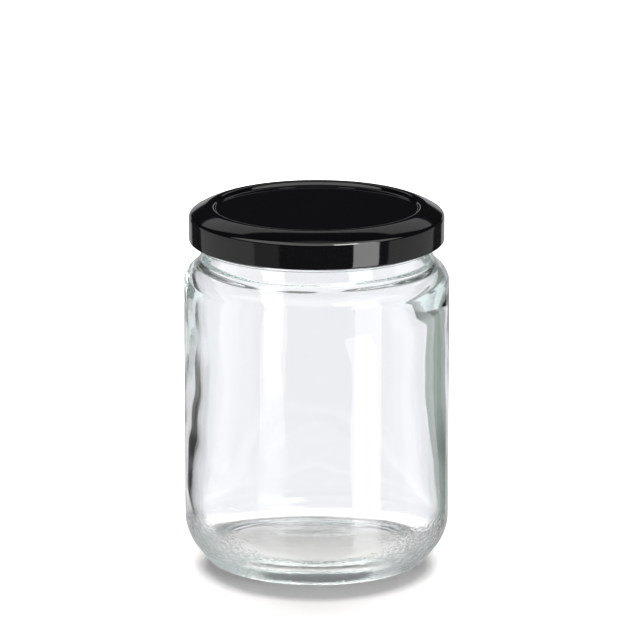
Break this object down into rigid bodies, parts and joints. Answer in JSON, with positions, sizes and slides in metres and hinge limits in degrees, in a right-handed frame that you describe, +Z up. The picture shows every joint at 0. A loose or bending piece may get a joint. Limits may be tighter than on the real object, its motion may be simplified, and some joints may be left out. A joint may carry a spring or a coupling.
{
  "type": "canning jar",
  "caption": "Clear glass storage jar with rounded shoulder and heel, shut by a pressed steel twist-off lid with a sunk panel and a ring of sealing compound.",
  "frame": {"origin": "centre of the circle the jar stands on, at the bottom of the bounding box", "axes": "+Z up along the jar's axis, from the base to the lid; +X to the right and +Y away from the viewer, both free because the jar is round"},
  "size_m": [0.0888, 0.0888, 0.1214],
  "materials": {
    "glass": "clear soda-lime glass with a faint green cast, fire-polished, slightly wavy inside",
    "lid_lacquer": "gloss black lacquer on tinplate",
    "compound": "soft off-white sealing compound"
  },
  "bodies": {
    "root": {"jar": "glass", "lid": "lid_lacquer", "seal": "compound"}
  },
  "joints": []
}
